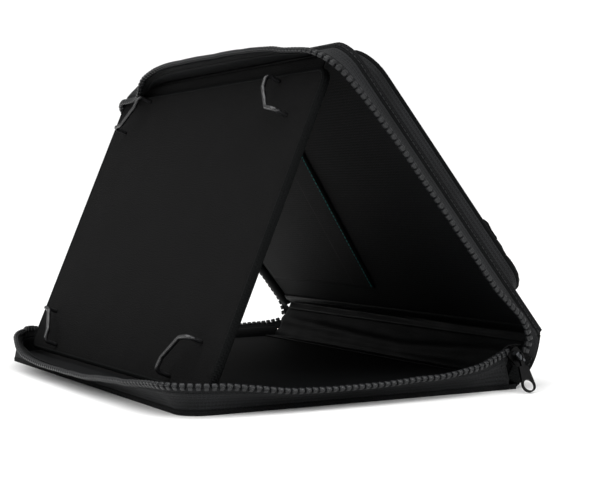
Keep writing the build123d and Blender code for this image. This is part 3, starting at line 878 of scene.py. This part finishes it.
def build_leather(name, half, reach, ridges, stands_for):
    """One half of the spine lining: from its lap on a panel, round the fold, to the split."""
    start, up, inward, spine_way = halves[half]
    wide = half_width - leather_inset
    stops = np.arange(-reach, leather_lap + 0.1, fold_step)
    level = stack_under_lining + lining_thickness + leather_half + 0.1
    line = []
    for s in stops:
        if s >= 0:
            line.append(start + up * max(s, fold_clear) + inward * level)
        else:
            line.append(start + spine_way * max(-s, fold_clear) + spine_in * leather_rise)
    line = np.array(line)
    for k in range(8):
        line[1:-1] = (line[:-2] + line[1:-1] * 2 + line[2:]) / 4
    grid = []
    for s, middle in zip(stops, line):
        row = []
        facing = inward if s > 4 else spine_in
        inner = min(1.0, min(s + reach, leather_lap - s) / 4)
        for x in np.linspace(-wide, wide, 90):
            ridge = sum(crease(s, x, *spot) for spot in ridges)
            ridge += 0.5 * noise.noise(Vector((x / 26, s / 9, 7)))
            row.append(middle + across_case * x + facing * ridge * inner)
        grid.append(row)
    piece = sheet_of_cloth(name, grid, -leather_half, leather_half)
    dress(piece, leather, None, stands_for)
    bend_over_fold(piece, half)


lower_ridges = [
    ([(-150, -18), (22, -12.5), (83, -16), (150, -20)], 1.5, 3.0),
    ([(-150, -7), (150, -5)], 0.8, 2.5),
]
upper_ridges = [([(-150, 6.5), (-42, 3), (62, -4), (150, -4)], 1.2, 2.2)]
build_leather("spine_leather_lower", "base", leather_split, lower_ridges, ["spine_lining"])
build_leather("spine_leather_upper", "cover", spine_width - leather_split, upper_ridges, [])

# ---- Spine end tab ----
# A rounded flap of doubled webbing closes the near end of the fold behind the zip.
# Its free edge is bound with a thin round piping, and the strip at its root is topstitched.
webbing_spacing = 1.3
webbing = textile(
    "nylon webbing",
    "#040505",
    "#0F1011",
    lambda tree: woven(tree, webbing_spacing, webbing_spacing),
    0.25,
    0.76,
    sheen=0.0,
    specular=0.07,
)
tab_low, tab_high = 3.6, 17.5  # from the spine's outer face
tab_first, tab_last = 2.0, spine_width - 12.5  # along the spine
tab_half, strip_half = 0.6, 0.5


def tube(name, line, radius, place, sides=8):
    """A round cord along a line of points, with domed ends."""
    line = np.asarray(line, float)
    way = unit(np.gradient(line, axis=0))
    side = unit(np.cross(way, np.array([0.3, 0.2, 0.93])))
    up = np.cross(side, way)
    points = []
    sizes = [1.0] * len(line)
    sizes[0] = sizes[-1] = 0.5
    for middle, s, u, size in zip(line, side, up, sizes):
        points += ring_of_points(middle, s, u, radius * size, sides)
    return add_mesh(name, points, tube_faces(0, len(line), sides), None, place)


spine_place = local_frame(fold_line, across_case, spine_up, spine_in)


def build_tab():
    low, high = (np.array(v) * 1000 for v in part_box("spine_end_tab_near"))
    x = (low[0] + high[0]) / 2
    middle, half = (tab_first + tab_last) / 2, (tab_last - tab_first) / 2
    grid, edge = [], []
    for c in np.linspace(-1, 1, 23):
        share = math.sin(c * math.pi / 2)
        s = middle + half * share
        tall = tab_low + max((tab_high - tab_low) * (1 - abs(share) ** 2.6) ** 0.5, 1.0)
        bow = 0.8 * math.sin(c * 3)
        rows = np.linspace(0, 1, 7)
        grid.append([(x + bow * r, s, tab_low + (tall - tab_low) * r) for r in rows])
        edge.append((x + bow, s, tall))
    flap = sheet_of_cloth("near_tab_flap", grid, -tab_half, tab_half, spine_place)
    dress(flap, webbing, "spine", ["spine_end_tab_near"])
    dress(tube("near_tab_piping", edge, 0.75, spine_place), leather, "spine")
    inner = [(x + tab_half + 0.05, s, max(z - 2.2, tab_low)) for _, s, z in edge[3:-3]]
    outward = [(1, 0, 0)]
    sewn = stitches("near_tab_stitches", inner, outward * len(inner), 2.6, 1.8, 0.22, spine_place)
    dress(sewn, black_thread, "spine")
    strip = []
    for s in np.linspace(2.5, spine_width - 2.5, 16):
        swell = spine_bulge * math.sin(math.pi * s / spine_width)
        heights = (0.7, 2.4, 4.2, 6.2, 8.2)
        strip.append([(half_width - 0.9, s, z - swell * (1 - z / 9)) for z in heights])
    binding = sheet_of_cloth("near_tab_end_strip", strip, -strip_half, strip_half, spine_place)
    dress(binding, webbing, "spine")
    line = [(p[1][0] + strip_half + 0.05, p[1][1], p[1][2]) for p in strip[1:-1]]
    dots = stitches("near_tab_end_stitches", line, outward * len(line), 3.2, 1.6, 0.3, spine_place)
    dress(dots, black_thread, "spine")


build_tab()

# ---- Document pocket ----
# A flat slip pocket on the cover's lining, open along a slanting mouth.
# The mouth is turned in over a reinforcing band and sewn with one row of teal thread.
pocket_low, pocket_high = 26.0, 168.0
mouth_low, mouth_high = 0.0, 38.0
pocket_far = -half_width + 6.0
lining_top = stack_under_lining + lining_thickness
mouth_band = 26.0


def mouth_x(s):
    return mouth_low + (mouth_high - mouth_low) * (s - pocket_low) / (pocket_high - pocket_low)


def slanted_sheet(name, x_first, lift, puff, low, high):
    """A sheet from a line left of the mouth to the mouth, standing off a little at the mouth."""
    grid = []
    for s in np.linspace(pocket_low, pocket_high, 60):
        first = x_first if x_first < -100 else mouth_x(s) + x_first
        span = np.linspace(first, mouth_x(s), 40)
        belly = math.sin(math.pi * (s - pocket_low) / (pocket_high - pocket_low))
        row = []
        for x in span:
            share = max(0.0, 1 - (mouth_x(s) - x) / 70)
            wave = 0.15 * noise.noise(Vector((x / 22, s / 16, 4)))
            row.append((x, s, lining_top + lift + (puff * share**2 + wave) * belly))
        grid.append(row)
    return sheet_of_cloth(name, grid, low, high, cover_place)


bag = slanted_sheet("document_pocket_cloth", pocket_far, 0.4, 0.15, -0.25, 0.25)
dress(bag, lining_cloth, "cover", ["document_pocket"])
facing_band = slanted_sheet("document_mouth_band", -mouth_band, 0.86, 0.15, -0.18, 0.18)
dress(facing_band, lining_cloth, "cover", ["document_pocket_band"])
pocket_tall = pocket_high - pocket_low
mouth_line = []
for s in np.linspace(pocket_low + 1, pocket_high - 1, 50):
    belly = math.sin(math.pi * (s - pocket_low) / pocket_tall)
    mouth_line.append((mouth_x(s) - 1.8, s, lining_top + 1.06 + 0.14 * belly))
teal_row = stitches(
    "document_mouth_stitches", mouth_line, [(0, 0, 1)] * 50, 3.0, 2.3, 0.3, cover_place
)
dress(teal_row, teal_thread, "cover")

# ---- Tablet plate ----
# A stiff board faced with microfibre suede and backed with plain cloth.
# Its edge is bound with a narrow folded tape, and a cloth strip hinges its top to the cover.
plate_low, plate_top = (np.array(v) * 1000 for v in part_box("plate_rim_binding"))
plate_half_width = (plate_top[0] - plate_low[0]) / 2
plate_foot = np.array([0, -85.5, 7.8])
plate_up = unit(plate_hinge - plate_foot)
plate_out = np.array([0, -plate_up[2], plate_up[1]])
plate_place = local_frame(plate_foot, across_case, plate_up, plate_out)
hinge_reach = float(np.linalg.norm(plate_hinge - plate_foot))
plate_length = hinge_reach - 7.1
plate_radius = 10.0
plate_half = 2.0


def speckle(tree):
    """Nap of a suede: fine fibres in small tufts, brushed in soft patches."""
    place = add_node(tree, "TexCoord").outputs["Object"]
    tufts = add_node(tree, "TexNoise", {"Vector": place, "Scale": 1 / (0.8 * MM), "Detail": 6.0})
    sharp = add_node(tree, "MapRange", {0: tufts.outputs["Fac"], 1: 0.35, 2: 0.7})
    return sharp.outputs[0]


suede = textile(
    "microfibre suede",
    "#040404",
    "#121213",
    speckle,
    0.3,
    0.9,
    sheen=0.02,
    specular=0.04,
    patch=22.0,
)


def plate_sheet(name, level, low, high, inset):
    wide, far = plate_half_width - inset, plate_length - inset
    stops = spread((far - inset) / 2) + (far + inset) / 2
    grid = []
    for s in stops:
        row = []
        for x in spread(wide):
            mid = (far + inset) / 2
            x2, s2 = round_corner(x, abs(s - mid) + mid, wide, far, plate_radius - inset)
            s2 = s2 if s >= mid else 2 * mid - s2
            edge = min(wide - abs(x), s - inset, far - s)
            drop = 0.5 * max(0.0, 1 - edge / 2.2) ** 2
            soft = 0.12 * noise.noise(Vector((x / 18, s / 18, 9)))
            row.append((x2, s2, level - math.copysign(drop, level) + soft))
        grid.append(row)
    return sheet_of_cloth(name, grid, low, high, plate_place)


face = plate_sheet("plate_suede", plate_half - 0.3, -0.4, 0.4, 0.9)
dress(face, suede, "plate", ["plate_face"])
back = plate_sheet("plate_back_cloth", -plate_half + 0.3, -0.4, 0.4, 0.9)
dress(back, oxford_cloth, "plate", ["plate_backing"])


def rounded_ring(wide, low, high, radius, step=3.0):
    """Closed outline of a rounded rectangle as (point, outward) pairs."""
    centres = [(wide - radius, high - radius), (radius - wide, high - radius)]
    centres += [(radius - wide, low + radius), (wide - radius, low + radius)]
    ring = []
    for k, (cx, cy) in enumerate(centres):
        for a in np.linspace(k * math.pi / 2, (k + 1) * math.pi / 2, 8):
            out = (math.cos(a), math.sin(a))
            ring.append(((cx + radius * out[0], cy + radius * out[1]), out))
        nx, ny = centres[(k + 1) % 4]
        out = (math.cos((k + 1) * math.pi / 2), math.sin((k + 1) * math.pi / 2))
        start = np.array(ring[-1][0])
        end = np.array((nx + radius * out[0], ny + radius * out[1]))
        count = int(np.linalg.norm(end - start) / step)
        ring += [(tuple(start + (end - start) * i / count), out) for i in range(1, count)]
    return ring


def bound_edge(name, ring, section, low, high, place):
    """A strip round a closed outline; the section is (outwards, up) offsets across the strip."""
    grid = [
        [(p[0] + o[0] * out, p[1] + o[1] * out, up) for out, up in section] for p, o in ring
    ]
    return sheet_of_cloth(name, grid, low, high, place, wrap=True)


plate_ring = rounded_ring(plate_half_width, 0, plate_length, plate_radius)
u_section = [(-1.9, 2.05), (-1.0, 2.1), (-0.2, 1.7), (0.1, 0.8), (0.15, 0)]
u_section += [(0.1, -0.8), (-0.2, -1.7), (-1.0, -2.1), (-1.9, -2.05)]
rim = bound_edge("plate_binding", plate_ring, u_section, -0.25, 0.25, plate_place)
dress(rim, webbing, "plate", ["plate_rim_binding"])


def build_hinge_strip():
    """Cloth from the plate's upper edge, through the hinge line, to the root of the gusset."""
    root = cover_fold + cover_up * (seam_depth - 2.6) + cover_in * 6.4
    stops = [plate_hinge - plate_up * d for d in (9, 7.5, 6, 4.5, 3, 1.5, 0.5)]
    stops += [plate_hinge * (1 - r) + root * r for r in (0.35, 0.7, 1.0)]
    xs = np.linspace(-plate_half_width + plate_radius, plate_half_width - plate_radius, 80)
    grid = [[p + across_case * x for x in xs] for p in stops]
    piece = sheet_of_cloth("plate_hinge_cloth", grid, -0.4, 0.4)
    dress(piece, suede, None, ["plate_hinge_strip"])
    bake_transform(piece)


build_hinge_strip()

# ---- Corner loops ----
# Four round elastic cords, each knotted inside the plate and stretched over a tablet's corner.
# The braided sheath over the rubber is smooth enough to shine along the cord.


def braided_elastic():
    made, tree, shader = start_material(
        "braided elastic cord", specular_ior_level=0.55, coat_weight=0.3, coat_roughness=0.25
    )
    place = add_node(tree, "TexCoord").outputs["Object"]
    braid = add_node(
        tree, "TexWave", {"Vector": place, "Scale": 380.0, "Distortion": 3.0}, bands_direction="DIAGONAL"
    )
    # The darker tone, where the braid is low, is painted shade in its grooves.
    tone = add_node(tree, "Mix", {0: braid.outputs["Fac"]}, data_type="RGBA")
    tone.inputs[6].default_value = linear("#0A0A0B")
    tone.inputs[7].default_value = linear("#1C1C1E")
    tree.links.new(tone.outputs[2], shader.inputs["Base Color"])
    gloss = add_node(tree, "MapRange", {0: braid.outputs["Fac"], 3: 0.42, 4: 0.28})
    tree.links.new(gloss.outputs[0], shader.inputs["Roughness"])
    bump = add_node(tree, "Bump", {"Distance": 0.0001, "Height": braid.outputs["Fac"]})
    tree.links.new(bump.outputs["Normal"], shader.inputs["Normal"])
    return made


elastic = braided_elastic()
for name in nodes:
    if name.startswith("corner_loop") or name == "loop_knots":
        nodes[name].data.materials.clear()
        nodes[name].data.materials.append(elastic)

# ---- Main slider and pull ----
# Die-cast zinc, plated black: two flanges on a post, a bridge, and a flat pull with a large eye.
# The plating is smooth but not bright, and shows a soft line of light on each edge.


def plated(name, dark, light, roughness):
    """Black plating over cast zinc: metallic, slightly cloudy, with fine casting texture."""
    made, tree, shader = start_material(name, metallic=0.85)
    place = add_node(tree, "TexCoord").outputs["Object"]
    cloud = add_node(tree, "TexNoise", {"Vector": place, "Scale": 1 / (1.6 * MM), "Detail": 4.0})
    tone = add_node(tree, "Mix", {0: cloud.outputs["Fac"]}, data_type="RGBA")
    tone.inputs[6].default_value = linear(dark)
    tone.inputs[7].default_value = linear(light)
    tree.links.new(tone.outputs[2], shader.inputs["Base Color"])
    gloss = add_node(tree, "MapRange", {0: cloud.outputs["Fac"], 3: roughness - 0.07, 4: roughness + 0.1})
    tree.links.new(gloss.outputs[0], shader.inputs["Roughness"])
    bump = add_node(tree, "Bump", {"Distance": 0.00005, "Height": cloud.outputs["Fac"]})
    tree.links.new(bump.outputs["Normal"], shader.inputs["Normal"])
    return made


black_zinc = plated("black plated zinc", "#050505", "#0A0A0B", 0.34)
# The bridge gets a lighter copy of the black plating, as a painted highlight.
painted_highlight_zinc = plated("plated zinc lightened as a painted highlight", "#3A3B3D", "#55575A", 0.3)
for name, material in (
    ("zip_slider_body", black_zinc),
    ("zip_slider_bridge", painted_highlight_zinc),
    ("zip_pull", black_zinc),
    ("pocket_zip_slider", black_zinc),
    ("pocket_zip_pull", black_zinc),
):
    nodes[name].data.materials.clear()
    nodes[name].data.materials.append(material)
    edge = nodes[name].modifiers.new("worn edge", "BEVEL")
    edge.width, edge.segments, edge.limit_method = 0.00018, 2, "ANGLE"

# ---- Outer pocket ----
# A raised pocket of oxford cloth on the cover, with a soft gusset and a bound front edge.
# Its zip runs in the upper side; an open slip pocket with a hemmed edge covers its lower part.
outer_half_width = half_width - 7.0
outer_low, outer_high = 20.0, seam_depth - 11.0
outer_radius = 18.0
outer_height = 9.0
front_belly = 3.4
slip_height = 48.0

outer_ring = rounded_ring(outer_half_width - 0.6, outer_low + 0.6, outer_high - 0.6, outer_radius)
side_section = [(0.25 * math.sin(math.pi * r), -outer_height * r) for r in np.linspace(0, 1, 7)]
side_wall = bound_edge("pocket_side_cloth", outer_ring, side_section, -0.6, 0.6, cover_place)
dress(side_wall, rib_cloth, "cover", ["pocket_gusset"])
edge_section = [(-2.2, -10.9), (-1.0, -11.2), (0.2, -10.9), (0.8, -10.1), (0.7, -9.2), (0.0, -8.6)]
edging = bound_edge("pocket_front_binding", outer_ring, edge_section, -0.35, 0.35, cover_place)
dress(edging, webbing, "cover", ["pocket_edge_binding"])
dots = [(p[0] - o[0] * 1.2, p[1] - o[1] * 1.2, -11.62) for p, o in outer_ring]
outwards = [(0, 0, -1)] * len(dots)
edge_row = stitches("pocket_front_stitches", dots, outwards, 3.0, 2.0, 0.28, cover_place)
dress(edge_row, black_thread, "cover")


def settle(grid, push, frames):
    """Lets a sheet held by its edge swell under a steady push, as cloth with a little slack."""
    n, m = grid.shape[:2]
    faces = [
        [i * m + j, (i + 1) * m + j, (i + 1) * m + j + 1, i * m + j + 1]
        for i in range(n - 1)
        for j in range(m - 1)
    ]
    cloth = add_mesh("settling_cloth", grid.reshape(-1, 3), faces, None, cover_place)
    held = cloth.vertex_groups.new(name="sewn")
    rim = [(i, j) for i in range(n) for j in range(m) if i in (0, n - 1) or j in (0, m - 1)]
    held.add([i * m + j for i, j in rim], 1, "ADD")
    modifier = cloth.modifiers.new("cloth", "CLOTH")
    modifier.settings.vertex_group_mass = "sewn"
    modifier.settings.quality = 6
    modifier.settings.shrink_min = -0.012
    modifier.settings.bending_stiffness = 2.0
    scene = bpy.context.scene
    usual = scene.gravity.copy()
    scene.gravity = push
    for f in range(1, frames + 1):
        scene.frame_set(f)
    settled = cloth.evaluated_get(bpy.context.evaluated_depsgraph_get()).data
    axes, origin = cover_place
    points = np.array([v.co for v in settled.vertices]) / MM
    scene.gravity = usual
    scene.frame_set(1)
    bpy.data.objects.remove(cloth)
    return ((points - origin) @ axes.T).reshape(n, m, 3)


front_push, front_frames = 4.0, 16
front_slack = 3.0  # no point moves further than this from the drawn belly


def build_front():
    wide = outer_half_width - 1.4
    low, high = outer_low + 1.4, outer_high - 1.4
    mid = (low + high) / 2
    grid = []
    for s in spread((high - low) / 2, step=5.0) + mid:
        row = []
        for x in spread(wide, step=5.0):
            x2, s2 = round_corner(x, abs(s - mid) + mid, wide, high, outer_radius - 1.4)
            s2 = s2 if s >= mid else 2 * mid - s2
            edge = max(0.0, min(wide - abs(x), high - mid - abs(s - mid)))
            belly = front_belly * (1 - math.exp(-edge / 22))
            row.append((x2, s2, -10.2 - belly))
        grid.append(row)
    grid = np.array(grid)
    start = grid.copy()
    grid = settle(grid, Vector(tuple(-cover_in * front_push)), front_frames)
    moved = grid - start
    far = np.linalg.norm(moved, axis=2, keepdims=True)
    grid = start + moved * np.minimum(1, front_slack / np.maximum(far, 1e-6))
    piece = sheet_of_cloth("pocket_front_cloth", grid, -0.5, 0.5, cover_place)
    dress(piece, oxford_cloth, "cover", ["pocket_front"])
    return grid


front_grid = build_front()


def build_slip():
    """Open pocket over the lower part of the front, with a double hem along its mouth."""
    rows = []
    middle = front_grid[:, front_grid.shape[1] // 2, 1]
    for k in np.flatnonzero(middle < outer_low + slip_height):
        row = []
        for x, s, z in front_grid[k]:
            inner = max(0.0, 1 - (abs(x) / outer_half_width) ** 8)
            share = min(1.0, max(0.0, s - outer_low) / slip_height)
            row.append((x, s, z - 1.35 - 1.6 * share * share * inner))
        rows.append(row)
    piece = sheet_of_cloth("slip_pocket_cloth", rows, -0.45, 0.45, cover_place)
    dress(piece, oxford_cloth, "cover", ["slip_pocket"])
    hem_rows = [[(x, s, z - 0.85) for x, s, z in row] for row in rows[-3:]]
    hem = sheet_of_cloth("slip_pocket_hem_cloth", hem_rows, -0.35, 0.35, cover_place)
    dress(hem, webbing, "cover", ["slip_pocket_hem"])
    line = [(x, s - 2.0, z - 1.35) for x, s, z in rows[-1]][4:-4]
    outwards = [(0, 0, -1)] * len(line)
    sewn = stitches("slip_hem_stitches", line, outwards, 3.0, 2.0, 0.26, cover_place)
    dress(sewn, black_thread, "cover")


build_slip()


def build_pocket_zip():
    """Tape, and a coil of monofilament with its turns showing, in the pocket's upper side."""
    low, high = (np.array(v) * 1000 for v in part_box("pocket_zip_coil"))
    length = (high[0] - low[0]) / 2
    top = outer_high
    grid = []
    for x in np.linspace(-length - 5, length + 5, 90):
        grid.append([(x, top + 0.35, z) for z in (-2.0, -3.2, -4.5, -5.8, -7.0)])
    tape = sheet_of_cloth("pocket_zip_tape_cloth", grid, -0.3, 0.3, cover_place)
    dress(tape, twill_tape, "cover", ["pocket_zip_tape"])
    points, faces = [], []
    pitch, sides = 1.5, 6
    turns = np.arange(-length, length, pitch)
    for x in turns:
        faces += tube_faces(len(points), 5, sides)
        for c in np.linspace(-1, 1, 5):
            bow = 0.9 * math.cos(c * math.pi / 2) ** 0.5 if abs(c) < 1 else 0
            for k in range(sides):
                a = 2 * math.pi * k / sides
                along, out = 0.42 * math.cos(a) + 0.3 * c, 0.75 + bow * 0.5 + 0.38 * math.sin(a)
                points.append((x + along, top + out, -outer_height / 2 + 1.4 * c))
    coil = add_mesh("pocket_zip_coil_turns", points, faces, None, cover_place)
    dress(coil, acetal, "cover", ["pocket_zip_coil"])


build_pocket_zip()
